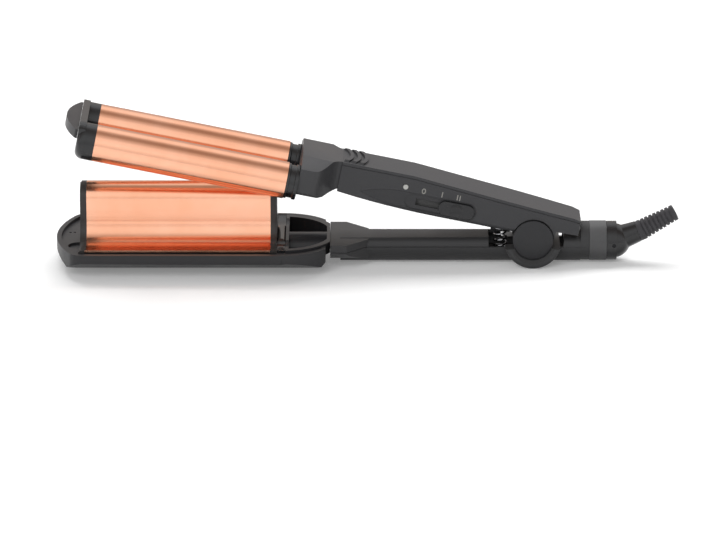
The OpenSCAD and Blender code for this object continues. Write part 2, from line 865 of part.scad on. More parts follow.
// A domed cover on the near side; the far one is its mirror image.
module hinge_cover() {
    dome = (pow(ear_r, 2) + pow(cover_t * 0.6, 2)) / (2 * cover_t * 0.6);
    color(grey) at_hinge() rotate([90, 0, 0]) rotate_extrude() intersection() {
        translate([0, cover_seat + 0.02]) square([ear_r, cover_t]);
        translate([0, cover_y - dome]) circle(dome, $fn = 240);
    }
}

module hinge_cover_near() {
    hinge_cover();
}

module hinge_cover_far() {
    mirror([0, 1, 0]) hinge_cover();
}

module hinge_bush() {
    color("#b08d57") opened() at_hinge() difference() {
        rod_y(pin_r + bush_wall, -lug_y, lug_y);
        rod_y(pin_r + running, -lug_y - 1, lug_y + 1);
    }
}

// The coil of the return spring as a swept tube.
module return_spring() {
    steps = 20;
    sides = 8;
    low = seat_z + wire_r;
    rise = spring_top - wire_r - low;
    count = round(spring_turns * steps);
    ring = [for (i = [0:count]) for (k = [0:sides - 1])
        let (a = 360 * i / steps, b = 360 * k / sides, r = spring_r + wire_r * cos(b),
            s = min(1, max(0, (i / count * 1.2 - 0.1))))
        [r * cos(a), r * sin(a), low + rise * s + wire_r * sin(b)]];
    sides_faces = [for (i = [0:count - 1]) for (k = [0:sides - 1])
        let (a = i * sides + k, b = i * sides + (k + 1) % sides) [a, b, b + sides, a + sides]];
    ends = [[for (k = [0:sides - 1]) sides - 1 - k], [for (k = [0:sides - 1]) count * sides + k]];
    color(steel) translate([spring_x, 0, 0]) polyhedron(ring, concat(sides_faces, ends));
}

// ---------- rear end and cord exit ----------

module rear_band() {
    color(grey) translate([0, 0, grip_z]) difference() {
        rod_x(rear_r + 0.2, rear_x1 + fit, band_x1 - fit);
        rod_x(spigot_r + fit / 2, rear_x1 - 1, hub_x0);
        rod_x(hub_r + running, hub_x0 - 0.4, far / 2);
    }
}

// A point on the cord exit, moved from the ball's centre.
module at_ball() {
    translate([ball_x, 0, grip_z]) children();
}

module swivel_collar() {
    color(gloss) difference() {
        translate([0, 0, grip_z]) union() {
            rod_x(rear_r, band_x1 + 0.1, exit_x);
            rod_x(hub_r, hub_x0 + 0.1, band_x1 + 0.2);
            rod_x(stem_r, web_x0 - 1, hub_x0 + 0.2);
            rod_x(flange_r, web_x0 - 1.8, web_x0 - 0.2);
        }
        intersection() {
            at_ball() sphere(ball_r + seat_gap);
            block([ball_x - ball_r * 0.82, -far, -far], [far, far, far]);
        }
        translate([0, 0, grip_z]) rod_x(cord_bore_r, web_x0 - 3, exit_x);
        at_ball() rod_y(tilt_pin_r, -far / 2, far / 2);
    }
}

module tilt_pins() {
    color(steel) at_ball() both_sides() rod_y(tilt_pin_r - 0.01, ball_r - 2.2, rear_r - 0.5);
}

// Points an axis that starts at the ball's centre up by the angle a.
module aimed(a) {
    rotate([0, -a, 0]) children();
}

// The foot of the ribbed sleeve, seen from the ball's centre.
foot = [neck_reach * cos(neck_tilt), 0, neck_reach * sin(neck_tilt)];

module cord_bore() {
    aimed(neck_tilt) rod_x(cord_bore_r, -ball_r, neck_reach);
    translate(foot) aimed(sleeve_tilt) rod_x(cord_bore_r, -1.5, sleeve_len + 1);
}

module cord_ball() {
    neck_r0 = ball_r * sin(45);
    color(gloss) at_ball() difference() {
        union() {
            intersection() {
                sphere(ball_r);
                aimed(neck_tilt) block([-ball_cut, -far, -far], [far, far, far]);
            }
            aimed(neck_tilt) translate([neck_r0 * 0.8, 0, 0]) rotate([0, 90, 0])
                cylinder(r1 = neck_r0, r2 = sleeve_r0, h = neck_reach - neck_r0 * 0.8 - 1.2);
        }
        cord_bore();
        both_sides() rod_y(tilt_pin_r + running, ball_r - 2.4, far);
    }
}

// The ribbed sleeve: a tapered tube with rings, its slots cut between them.
module strain_relief() {
    pitch = sleeve_len / sleeve_ribs;
    color(matte) at_ball() difference() {
        translate(foot) aimed(sleeve_tilt) rotate([0, 90, 0]) {
            cylinder(r1 = sleeve_r0 - 1.1, r2 = sleeve_r1 - 0.8, h = sleeve_len);
            for (i = [0:sleeve_ribs - 1]) {
                s = (i + 0.5) / sleeve_ribs;
                r = sleeve_r0 + (sleeve_r1 - sleeve_r0) * s;
                translate([0, 0, pitch * (i + 0.5) - pitch * 0.3]) cylinder(r = r, h = pitch * 0.6);
            }
            translate([0, 0, sleeve_len - pitch * 0.2]) cylinder(r = sleeve_r1, h = pitch * 0.2);
            sphere(sleeve_r0 - 0.2);
        }
        aimed(neck_tilt) block([-far, -far, -far], [neck_reach - 1.2 + fit / 2, far, far]);
        cord_bore();
    }
}

// ---------- upper tubes and cool tip ----------

// Draws on both tube axes, with the tube's axis at the origin of Y and Z.
module on_tubes() {
    for (s = [-1, 1]) translate([0, s * tube_y, tube_z]) children();
}

module one_tube(s) {
    color(copper) opened() translate([0, s * tube_y, tube_z]) difference() {
        rod_x(tube_r, tube_x0, tube_x1);
        rod_x(tube_r - tube_t, tube_x0 - 1, tube_x1 + 1);
    }
}

module tube_near() {
    one_tube(-1);
}

module tube_far() {
    one_tube(1);
}

// Front caps with a round edge and a plug that sits in the tube.
module tube_caps() {
    color(gloss) opened() on_tubes() {
        rod_x(tube_r, cap_x0 + cap_edge_r, tube_x0);
        rod_x(tube_r - cap_edge_r, cap_x0, tube_x0);
        translate([cap_x0 + cap_edge_r, 0, 0]) rotate([0, -90, 0]) rotate_extrude() intersection() {
            translate([tube_r - cap_edge_r, 0]) circle(cap_edge_r);
            translate([tube_r - cap_edge_r, 0]) square(cap_edge_r);
        }
        rod_x(tube_r - tube_t - fit, tube_x0 - 0.1, tube_x0 + 6);
    }
}

module tube_collars() {
    color(gloss) opened() on_tubes() difference() {
        union() {
            rod_x(collar_r, tube_x1, tube_x1 + 1.6);
            rod_x(collar_r - 0.7, tube_x1, head_x0);
            rod_x(collar_r, head_x0 - 2.2, head_x0);
            rod_x(tube_r - tube_t - fit, tube_x1 - 6, tube_x1 + 0.1);
            rod_x(socket_r - fit, tube_x1, head_x0 + 6);
        }
        rod_x(socket_r - 1.6, tube_x1 - 7, head_x0 + 7);
    }
}

// The heater bar in each tube: its width just reaches the tube's wall.
module tube_heaters() {
    t = 4.4;
    room = tube_r - tube_t - fit;
    half = sqrt(pow(room, 2) - pow(t / 2, 2));
    middle = (tube_x0 + tube_x1) / 2;
    color("ivory") opened() on_tubes()
        block([middle - heater_len / 2, -half, -t / 2], [middle + heater_len / 2, half, t / 2]);
}

module temperature_sensor() {
    middle = (tube_x0 + tube_x1) / 2;
    color(steel) opened() translate([0, -tube_y, tube_z + 2.2 + 1.3]) rod_x(1.3 - fit / 2, middle, middle + 9);
}

// The half-round plate in front of the caps, joined over both of them.
module cool_tip() {
    color(matte) opened() difference() {
        translate([0, 0, tip_z]) linear_extrude(tip_t)
            bowed_plan(tip_x0, bridge_x0 + 6, tip_y, tip_bow_r, tip_len * 0.35, 0);
        // seat of the bridge bar
        block([bridge_x0 - fit, -far, tip_z - 1], [far, far, far]);
        both_sides() translate([0, tube_y, tube_z]) rod_x(tube_r + fit, cap_x0 + cap_edge_r, far);
    }
}

// The glossy bar over the front caps, hollowed to sit on them.
module bridge_bar() {
    r = tube_r + bridge_over;
    reach = asin((tip_y - tube_y) / r);
    arc = [for (i = [0:10]) [tube_y + r * sin(reach * i / 10), tube_z + r * cos(reach * i / 10)]];
    back = [for (i = [10:-1:0]) [-arc[i][0], arc[i][1]]];
    color(gloss) opened() difference() {
        along_x(bridge_x0, bridge_x0 + bridge_w)
            polygon(concat(arc, [[tip_y, tip_z], [-tip_y, tip_z]], back));
        on_tubes() {
            rod_x(tube_r + fit, cap_x0 + cap_edge_r, tube_x0 + 1);
            rod_x(tube_r - cap_edge_r + fit, cap_x0 - 1, tube_x0);
            translate([cap_x0 + cap_edge_r, 0, 0]) rotate([0, -90, 0]) rotate_extrude() intersection() {
                translate([tube_r - cap_edge_r, 0]) circle(cap_edge_r + fit);
                translate([tube_r - cap_edge_r, -1]) square(cap_edge_r + 2);
            }
        }
    }
}

// ---------- upper head ----------

// How far the flare's side lies from the middle, from 0 at the head's front to 1 at the handle.
function flare_half(s) = let (u = max(0, (s - 0.3) / 0.7))
    head_y - (head_y - handle_y + 0.8) * u * u * (3 - 2 * u);

module head_plan() {
    x_from = head_x0 + 2;
    steps = 20;
    edge = [for (i = [7:steps]) [x_from + (head_x1 - x_from) * i / steps, flare_half(i / steps)]];
    back = [for (i = [len(edge) - 1:-1:0]) [edge[i][0], -edge[i][1]]];
    polygon(concat([[head_x0, head_y + 1]], edge, back, [[head_x0, -head_y - 1]]));
}

module upper_head() {
    rise_x = head_x1 - 8.5;
    color(grey) opened() difference() {
        intersection() {
            along_y(-head_y, head_y) polygon([[head_x0, head_under], [head_x0, head_top],
                [head_x1, handle_top], [head_x1, head_under + 4.2], [rise_x, head_under]]);
            along_x(head_x0, head_x1) polygon(concat([[head_y, head_shoulder], [head_top_y, head_top],
                [-head_top_y, head_top], [-head_y, head_shoulder]], low_corners(head_y, head_under, 3)));
            linear_extrude(far) head_plan();
        }
        // sockets of the collars and the wiring space behind them
        on_tubes() rod_x(socket_r, head_x0 - 1, head_x0 + 8.5);
        block([head_x0 + 8, -tube_y, tube_z - 3], [head_x0 + 12, tube_y, tube_z + 3]);
        block([head_x0 + 8, -handle_y + wall, tube_z - 1], [head_x1 + 1, handle_y - wall, handle_top - 4]);
    }
}

// ---------- upper handle ----------

// The handle's outline from the side, its top lowered by drop and the rest drawn in by t.
module handle_profile(t, drop) {
    intersection() {
        polygon([[head_x1 + t, handle_under + t], [head_x1 + t, handle_top - drop],
            [bend_x, handle_top - drop], [tail_x - 4.7, tail_top - drop],
            [tail_x - t, tail_top - 1.2 - drop], [tail_x - t, tail_under + t],
            [hinge_x + 12.5, tail_under + t], [hinge_x + 12.5, handle_under + t]]);
        union() {
            translate([under_x, handle_under + under_r]) circle(under_r - t, $fn = 720);
            translate([under_x, 0]) square([far, far]);
        }
    }
}

// The points of two rounded lower corners, from the -Y side to the +Y side.
function low_corners(y, z, r) = [for (i = [0:23])
    let (side = i < 12 ? -1 : 1, a = side < 0 ? 90 * i / 11 : 90 - 90 * (i - 12) / 11)
    [side * (y - r + r * cos(a)), z + r - r * sin(a)]];

// The handle's outline across, drawn in by t.
module handle_section(t) {
    polygon(concat([[handle_y - t, far], [-handle_y + t, far]],
        low_corners(handle_y - t, handle_under + t, handle_edge_r - t)));
}

// The handle's outline from above, with its sides drawn in towards the tail.
module handle_plan(t) {
    steps = 6;
    edge = [for (i = [0:steps]) let (s = i / steps)
        [taper_x + (tail_x - taper_x) * s, handle_y - t - (handle_y - tail_y) * s * s]];
    back = [for (i = [steps:-1:0]) [edge[i][0], -edge[i][1]]];
    polygon(concat([[head_x1, handle_y - t]], edge, back, [[head_x1, -handle_y + t]]));
}

module handle_body(t, drop) {
    intersection() {
        along_y(-far / 2, far / 2) handle_profile(t, drop);
        along_x(head_x1, tail_x) handle_section(t);
        linear_extrude(far) handle_plan(t);
    }
}

// The leaf-shaped outline of the control panel.
module panel_outline(t) {
    leaf = 26;
    steps = 10;
    leaf_r = (leaf * leaf + panel_half * panel_half) / (2 * panel_half);
    middle = panel_x0 + leaf;
    reach = sqrt(pow(leaf_r - t, 2) - pow(leaf_r - panel_half, 2));
    low = [for (i = [0:steps]) let (x = reach * (1 - i / steps))
        [middle - x, switch_z + leaf_r - panel_half - sqrt(pow(leaf_r - t, 2) - x * x)]];
    high = [for (i = [steps:-1:1]) [low[i][0], 2 * switch_z - low[i][1]]];
    end_x = panel_x1 - panel_half;
    polygon(concat(low, [[end_x, switch_z - panel_half + t], [end_x, switch_z + panel_half - t]], high));
    translate([end_x, switch_z]) circle(panel_half - t);
}

// A slot with round ends from x0 to x1 about the switch line.
module switch_slot(x0, x1, half) {
    translate([x0 + half, switch_z - half]) square([x1 - x0 - 2 * half, 2 * half]);
    for (x = [x0 + half, x1 - half]) translate([x, switch_z]) circle(half);
}

module stem_slot(gap) {
    translate([knob_x - stem_x - switch_travel - gap, switch_z - stem_z - gap])
        square([2 * stem_x + switch_travel + 2 * gap, 2 * (stem_z + gap)]);
}

module upper_handle_bottom() {
    color(grey) opened() difference() {
        union() {
            handle_body(0, lid_t);
            intersection() {
                at_hinge() rod_y(lug_r, -lug_y, lug_y);
                block([-far, -far, -far], [far, far, tail_under + wall]);
            }
            block([hinge_x - lug_r, -lug_y, hinge_z], [hinge_x + lug_r, lug_y, tail_under + wall]);
            // seat that the return spring pushes on, level when the arms are open
            at_hinge() rotate([0, -open_angle, 0]) {
                translate([-spring_reach, 0, spring_top - hinge_z + 0.05]) cylinder(r = spring_r + 1.1, h = 3);
                // guard behind the spring, which stays above the pocket's floor when the arms close
                block([-spring_reach - 5.6, spring_r + 1.6, -0.9],
                    [-spring_reach + 6, spring_r + 3, spring_top - hinge_z + 3]);
            }
        }
        // the hollow, kept above the lug
        difference() {
            intersection() {
                handle_body(wall, 0);
                block([head_x1 - 1, -far, 0], [far, far, far]);
            }
            block([hinge_x - ear_r - free - wall, -far, -far], [hinge_x + ear_r + free + wall, far,
                hinge_z + ear_r + free + wall]);
            for (x = lid_screw_x) translate([x, 0, 0]) cylinder(r = boss_r, h = lid_boss_top);
        }
        // room for the ears, the covers and the round housing
        at_hinge() both_sides() rod_y(ear_r + free, lug_y + fit, far / 2);
        at_hinge() rod_y(pin_r + bush_wall, -far / 2, far / 2);
        // rebate that shows as the lid's seam
        lid_seam();
        along_y(-far / 2, -handle_y + panel_t) panel_outline(-fit);
        along_y(-far / 2, 0) stem_slot(free);
        translate([lens_x, 0, lens_z]) rod_y(lens_r + fit, -far / 2, 0);
        for (x = lid_screw_x) translate([x, 0, 0]) screw_hole(lid_screw_seat, lid_screw_top);
    }
}

// A narrow rebate round the handle just under the lid.
module lid_seam() {
    depth = 0.5;
    difference() {
        intersection() {
            along_y(-far / 2, far / 2) difference() {
                handle_profile(-1, lid_t - 0.05);
                handle_profile(-2, lid_t + depth);
            }
            linear_extrude(far) handle_plan(-1);
        }
        linear_extrude(far) handle_plan(depth);
    }
}

module upper_handle_top() {
    color(grey) opened() {
        difference() {
            union() {
                intersection() {
                    handle_body(0, 0);
                    along_y(-far / 2, far / 2) difference() {
                        handle_profile(-1, 0);
                        handle_profile(-2, lid_t);
                    }
                }
                // screw posts
                intersection() {
                    handle_body(wall, lid_t / 2);
                    for (x = lid_screw_x) translate([x, 0, lid_boss_top + fit]) cylinder(r = boss_r, h = far);
                }
            }
            for (x = lid_screw_x) translate([x, 0, 0]) cylinder(r = screw_r + fit, h = lid_screw_top + 0.5);
        }
        thumb_ribs();
    }
}

// Curved ribs across the lid for the thumb.
module thumb_ribs() {
    rib_w = 2.3;
    bow = 26;
    foot = handle_y - 1.4;
    intersection() {
        translate([0, 0, handle_top - 0.1]) linear_extrude(thumb_h + 1) intersection() {
            for (i = [0:thumb_count - 1]) translate([thumb_x + thumb_pitch * i - bow, 0]) difference() {
                circle(bow, $fn = 120);
                circle(bow - rib_w, $fn = 120);
            }
            translate([head_x1 + 0.4, -handle_y]) square([2 * bow, 2 * handle_y]);
        }
        // each rib keeps its height across the flat and falls away near the lid's edges
        along_x(head_x1, bend_x) polygon([[-foot, handle_top - 1], [foot, handle_top - 1],
            [foot, handle_top], [foot - 1.2, handle_top + thumb_h], [1.2 - foot, handle_top + thumb_h],
            [-foot, handle_top]]);
    }
}

// ---------- controls ----------

module control_panel() {
    color(matte) opened() difference() {
        intersection() {
            along_y(-handle_y, -handle_y + panel_t - fit) panel_outline(0);
            along_x(panel_x0 - 1, panel_x1 + 1) handle_section(0);
        }
        // the track that the knob slides in
        along_y(-far / 2, -track_y) switch_slot(knob_x - knob_len / 2 - switch_travel - free,
            knob_x + knob_len / 2 + free, knob_h / 2 + 0.35);
        along_y(-far / 2, 0) stem_slot(free);
    }
}

module slide_knob() {
    r = 8;
    color(grey) opened() difference() {
        union() {
            along_y(-handle_y - knob_out, -track_y - knob_gap)
                switch_slot(knob_x - knob_len / 2, knob_x + knob_len / 2, knob_h / 2);
            block([knob_x - stem_x, -track_y - knob_gap - 0.1, switch_z - stem_z],
                [knob_x + stem_x, -side_y + 1.6, switch_z + stem_z]);
        }
        // thumb scoop
        translate([knob_x, -handle_y - knob_out - r + 1.05, switch_z]) sphere(r, $fn = 120);
    }
}

module slide_switch() {
    back = -side_y + 2;
    color("dimgray") opened() block([knob_x - switch_travel - 8, back, switch_z - 4],
        [knob_x + 8, back + 6, board_z - fit]);
}

module circuit_board() {
    half = side_y - 1.5 - 2 * fit;
    color("darkgreen") opened() difference() {
        block([head_x1 + 26, -half, board_z], [hinge_x - 28, half, board_z + 1.6]);
        for (x = lid_screw_x) translate([x, 0, 0]) cylinder(r = boss_r + fit, h = far);
    }
}

module indicator_lens() {
    color("white") opened() translate([lens_x, 0, lens_z]) {
        rod_y(lens_r, -handle_y - 0.25, -side_y + 1.5);
        rod_y(lens_r + 0.8, -side_y + fit, -side_y + 1.5);
    }
}

// Screws from below that hold the lid on its posts.
module lid_screws() {
    color(steel) opened() for (x = lid_screw_x) translate([x, 0, 0]) screw(lid_screw_seat, lid_screw_top);
}

base_cover();
lower_plate();
front_end_wall();
rear_end_wall();
ridge_heater();
thermal_fuse();
neck_bar();
neck_fork();
cover_screws();
lower_wiring();
lower_handle_bottom();
lower_handle_top();
rear_top_shell();
handle_screws();
return_spring();
hinge_pin();
hinge_cover_near();
hinge_cover_far();
rear_band();
swivel_collar();
tilt_pins();
cord_ball();
strain_relief();
tube_near();
tube_far();
tube_caps();
tube_collars();
tube_heaters();
temperature_sensor();
cool_tip();
bridge_bar();
upper_head();
upper_handle_bottom();
upper_handle_top();
hinge_bush();
control_panel();
indicator_lens();
circuit_board();
slide_switch();
lid_screws();
slide_knob();
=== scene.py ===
"""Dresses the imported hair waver: materials, soft edges, spring, marks, studio and camera."""

import json
import math

import bpy
from mathutils import Matrix, Vector


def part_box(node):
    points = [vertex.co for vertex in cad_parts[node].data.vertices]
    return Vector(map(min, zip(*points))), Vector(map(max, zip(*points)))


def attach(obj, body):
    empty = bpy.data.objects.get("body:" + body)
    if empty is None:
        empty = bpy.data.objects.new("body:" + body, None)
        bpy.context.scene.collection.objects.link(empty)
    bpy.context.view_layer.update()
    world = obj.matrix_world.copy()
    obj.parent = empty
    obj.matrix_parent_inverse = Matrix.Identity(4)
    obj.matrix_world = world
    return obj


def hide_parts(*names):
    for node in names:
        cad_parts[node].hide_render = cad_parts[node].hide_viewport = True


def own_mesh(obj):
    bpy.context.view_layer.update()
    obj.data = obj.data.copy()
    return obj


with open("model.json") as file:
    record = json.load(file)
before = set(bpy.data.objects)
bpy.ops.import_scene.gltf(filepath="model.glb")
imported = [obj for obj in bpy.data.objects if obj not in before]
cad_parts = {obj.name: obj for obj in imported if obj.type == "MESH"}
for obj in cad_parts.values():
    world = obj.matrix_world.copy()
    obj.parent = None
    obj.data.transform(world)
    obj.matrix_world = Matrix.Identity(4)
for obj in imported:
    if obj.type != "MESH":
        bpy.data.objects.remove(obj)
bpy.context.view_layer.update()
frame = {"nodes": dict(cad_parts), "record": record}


def add_object(name, data):
    """A new object with this data, linked into the scene."""
    obj = bpy.data.objects.new(name, data)
    bpy.context.scene.collection.objects.link(obj)
    return obj


# ---------------------------------------------------------------- camera
# fitted to the photograph, lengths in metres
TARGET = Vector((-0.0057, 0.0, -0.0063))
DISTANCE = 3.0
ELEVATION = math.radians(18.0)
LENS_MM, SENSOR_MM = 251.0, 36.0
SIGHT = 50.0  # the camera sees nothing further away

cam_data = bpy.data.cameras.new("camera")
cam_data.lens = LENS_MM
cam_data.sensor_width = SENSOR_MM
cam_data.clip_end = SIGHT
camera = add_object("camera", cam_data)
back = Vector((0.0, -math.cos(ELEVATION), math.sin(ELEVATION)))
camera.location = TARGET + back * DISTANCE
camera.rotation_euler = (-back).to_track_quat("-Z", "Y").to_euler()
bpy.context.scene.camera = camera
bpy.context.scene.view_settings.view_transform = "Standard"


# ---------------------------------------------------------------- colours
WHITE = (1.0, 1.0, 1.0, 1.0)


def linear(r, g, b):
    """An sRGB colour from 0 to 255 as the linear colour that a shader takes."""
    out = []
    for v in (r, g, b):
        v /= 255.0
        out.append(v / 12.92 if v <= 0.04045 else ((v + 0.055) / 1.055) ** 2.4)
    return (*out, 1.0)


def shade(colour, factor):
    """The colour made darker or lighter by a factor, at most white."""
    return (*(min(1.0, c * factor) for c in colour[:3]), 1.0)


# ---------------------------------------------------------------- node helpers
def feed(tree, socket, value):
    """Gives an input socket a value, or links another node's output to it."""
    if isinstance(value, bpy.types.NodeSocket):
        tree.links.new(value, socket)
    else:
        socket.default_value = value


def add_node(tree, kind, **inputs):
    """A new node whose inputs, named with underscores for spaces, take values or outputs."""
    node = tree.nodes.new(kind)
    for name, value in inputs.items():
        feed(tree, node.inputs[name.replace("_", " ")], value)
    return node


def calculate(tree, operation, *values):
    """The output of a Math node with these inputs."""
    node = tree.nodes.new("ShaderNodeMath")
    node.operation = operation
    for i, value in enumerate(values):
        feed(tree, node.inputs[i], value)
    return node.outputs[0]


def mix_shaders(tree, fac, first, second):
    """The first shader where fac is 0, the second where it is 1."""
    node = tree.nodes.new("ShaderNodeMixShader")
    for i, output in enumerate((fac, first, second)):
        feed(tree, node.inputs[i], output)
    return node.outputs[0]


MIX_A, MIX_B, MIX_RESULT = 6, 7, 2  # a Mix node's sockets for colours
BUMP_DEPTH = 0.0001


class Shader:
    """A new material with a Principled shader, and short calls that add patterns to it."""

    def __init__(self, name):
        self.mat = bpy.data.materials.new(name)
        self.mat.use_nodes = True
        self.tree = self.mat.node_tree
        self.bsdf = self.tree.nodes["Principled BSDF"]
        self.coords = add_node(self.tree, "ShaderNodeTexCoord").outputs["Object"]

    def set(self, **inputs):
        """Gives inputs of the Principled shader values or outputs."""
        for name, value in inputs.items():
            feed(self.tree, self.bsdf.inputs[name.replace("_", " ")], value)

    def stretched(self, *scale):
        """The object's coordinates scaled by axis: a small scale draws a pattern out."""
        node = add_node(self.tree, "ShaderNodeMapping", Vector=self.coords, Scale=scale)
        return node.outputs["Vector"]

    def noise(self, scale, detail, rough=0.5, vector=None):
        """A noise pattern, its scale in cells per metre."""
        node = add_node(
            self.tree, "ShaderNodeTexNoise",
            Vector=vector or self.coords, Scale=scale, Detail=detail, Roughness=rough,
        )
        return node.outputs["Fac"]

    def ranged(self, value, low, high, start=0.3, end=0.7):
        """Runs from low to high while the value runs from start to end."""
        node = add_node(
            self.tree, "ShaderNodeMapRange",
            Value=value, From_Min=start, From_Max=end, To_Min=low, To_Max=high,
        )
        return node.outputs["Result"]

    def weighted(self, *parts):
        """The sum of patterns, each times its weight."""
        total = 0.0
        for value, weight in parts:
            total = calculate(self.tree, "MULTIPLY_ADD", value, weight, total)
        return total

    def paint(self, fac, a, b):
        """The base colour: a where fac is 0, b where it is 1."""
        node = add_node(self.tree, "ShaderNodeMix")
        node.data_type = "RGBA"
        feed(self.tree, node.inputs["Factor"], fac)
        feed(self.tree, node.inputs[MIX_A], a)
        feed(self.tree, node.inputs[MIX_B], b)
        self.set(Base_Color=node.outputs[MIX_RESULT])

    def bump(self, height, strength, distance=BUMP_DEPTH):
        """Shallow relief that follows a pattern."""
        node = add_node(
            self.tree, "ShaderNodeBump", Strength=strength, Distance=distance, Height=height
        )
        self.set(Normal=node.outputs["Normal"])


# ---------------------------------------------------------------- materials
COPPER_LIGHT, COPPER_DEEP = (249, 190, 160), (240, 174, 140)


def plastic(name, colour, rough):
    """Moulded plastic: a fine sparked grain, faint flow marks and patches polished by handling."""
    s = Shader(name)
    base = linear(*colour)
    patches = s.noise(scale=38.0, detail=4.0, rough=0.55)
    specks = s.noise(scale=2600.0, detail=2.0, rough=0.6)
    flow = s.noise(scale=900.0, detail=2.0)
    tone = s.weighted((patches, 0.75), (specks, 0.25))
    s.paint(s.ranged(tone, 0.0, 1.0), shade(base, 0.88), shade(base, 1.12))
    s.set(Roughness=s.ranged(patches, rough - 0.05, rough + 0.06))
    s.bump(s.weighted((specks, 1.0), (flow, 0.35)), strength=0.25)
    s.set(Metallic=0.0, IOR=1.47, Specular_IOR_Level=0.4)
    return s.mat


def polished(name, colour, rough):
    """Glossy plastic: near-smooth, with slight waviness and wipe marks."""
    s = Shader(name)
    base = linear(*colour)
    wave = s.noise(scale=90.0, detail=2.0, rough=0.4)
    wipes = s.noise(scale=300.0, detail=5.0, rough=0.6, vector=s.stretched(0.35, 1.0, 1.0))
    s.paint(wave, shade(base, 0.85), shade(base, 1.2))
    s.set(Roughness=s.ranged(wipes, rough - 0.04, rough + 0.08))
    s.bump(wave, strength=0.12, distance=2 * BUMP_DEPTH)
    s.set(Metallic=0.0, IOR=1.5)
    return s.mat


def coated_copper(name, rough):
    """Copper-coloured coating on aluminium: drawn lines along the tool and a faint mottle."""
    s = Shader(name)
    lines = s.noise(scale=900.0, detail=3.0, rough=0.6, vector=s.stretched(0.03, 1.0, 1.0))
    mottle = s.noise(scale=30.0, detail=4.0, rough=0.6)
    fine = s.noise(scale=3800.0, detail=2.0)
    s.paint(s.ranged(mottle, 0.0, 1.0), linear(*COPPER_DEEP), linear(*COPPER_LIGHT))
    worn = s.weighted((mottle, 0.5), (lines, 0.35), (fine, 0.15))
    s.set(Roughness=s.ranged(worn, rough - 0.04, rough + 0.06, start=0.35, end=0.65))
    s.bump(s.weighted((lines, 0.7), (fine, 0.3)), strength=0.035)
    s.set(Metallic=1.0)
    return s.mat


def metal(name, colour, rough):
    """Drawn or turned steel and bronze, with fine tool lines and faint stains."""
    s = Shader(name)
    base = linear(*colour)
    lines = s.noise(scale=1800.0, detail=3.0, rough=0.6, vector=s.stretched(1.0, 0.08, 1.0))
    stain = s.noise(scale=120.0, detail=3.0)
    s.paint(stain, shade(base, 0.8), shade(base, 1.1))
    s.set(Roughness=s.ranged(lines, rough - 0.06, rough + 0.08))
    s.bump(lines, strength=0.15)
    s.set(Metallic=1.0)
    return s.mat


def rubber(name, colour):
    """Matte rubber: a pale bloom in patches over a fine skin."""
    s = Shader(name)
    base = linear(*colour)
    bloom = s.noise(scale=70.0, detail=4.0, rough=0.6)
    skin = s.noise(scale=3200.0, detail=3.0, rough=0.6)
    s.paint(s.ranged(bloom, 0.0, 1.0), shade(base, 0.85), shade(base, 1.25))
    s.set(Roughness=s.ranged(skin, 0.5, 0.66))
    s.bump(skin, strength=0.3)
    s.set(Metallic=0.0, IOR=1.5)
    return s.mat


# each material's maker, its sRGB colour and its roughness
RECIPES = {
    "plate_coating": (coated_copper, 0.2),
    "tube_coating": (coated_copper, 0.17),
    "cover_plastic": (plastic, (44, 44, 46), 0.42),
    "wall_plastic": (plastic, (56, 54, 53), 0.3),
    "neck_plastic": (plastic, (42, 42, 44), 0.38),
    "bar_plastic": (polished, (26, 26, 28), 0.14),
    "lower_shell_plastic": (plastic, (60, 60, 61), 0.5),
    "cap_plastic": (plastic, (48, 48, 50), 0.5),
    "ring_plastic": (plastic, (92, 92, 93), 0.5),
    "exit_plastic": (polished, (28, 28, 30), 0.2),
    "sleeve_rubber": (rubber, (56, 55, 58)),
    "tube_end_plastic": (polished, (33, 34, 36), 0.2),
    "tip_plastic": (plastic, (40, 40, 43), 0.36),
    "head_plastic": (plastic, (66, 66, 68), 0.42),
    "upper_shell_plastic": (plastic, (66, 66, 68), 0.5),
    "panel_plastic": (plastic, (56, 56, 58), 0.42),
    "knob_plastic": (plastic, (44, 44, 46), 0.24),
    "lens_plastic": (polished, (205, 205, 200), 0.25),
    "mark_ink": (polished, (168, 166, 160), 0.4),
    "black_pin": (metal, (44, 44, 46), 0.4),
    "fastener_steel": (metal, (150, 150, 154), 0.35),
    "spring_steel": (metal, (190, 190, 194), 0.2),
    "bush_bronze": (metal, (176, 141, 87), 0.35),
    "heater_metal": (metal, (185, 182, 175), 0.5),
    "sensor_metal": (metal, (150, 150, 150), 0.4),
    "wire_rubber": (rubber, (40, 38, 38)),
    "board_laminate": (polished, (30, 92, 56), 0.3),
    "switch_plastic": (plastic, (90, 90, 90), 0.5),
}
MATERIALS = {name: make(name, *look) for name, (make, *look) in RECIPES.items()}

# ---------------------------------------------------------------- CAD nodes: materials, soft edges
# width of the rounded edges in metres; a node that isn't here keeps its sharp edges
EDGES = {
    "base_cover": 0.0005,
    "front_end_wall": 0.0004,
    "rear_end_wall": 0.0004,
    "neck_bar": 0.0003,
    "neck_fork": 0.0005,
    "lower_handle_bottom": 0.0003,
    "lower_handle_top": 0.0004,
    "rear_top_shell": 0.0003,
    "hinge_cover_near": 0.0003,
    "hinge_cover_far": 0.0003,
    "rear_band": 0.0003,
    "swivel_collar": 0.0003,
    "tube_collars": 0.0003,
    "cool_tip": 0.0008,
    "bridge_bar": 0.0003,
    "upper_head": 0.0007,
    "upper_handle_bottom": 0.0004,
    "upper_handle_top": 0.0005,
    "control_panel": 0.0001,
    "slide_knob": 0.0005,
}
WELD_REACH = 1e-6
EDGE_SEGMENTS = 2
EDGE_TURN = math.radians(28.0)  # an edge that turns by less stays as it is
FACE_WEIGHT = 60


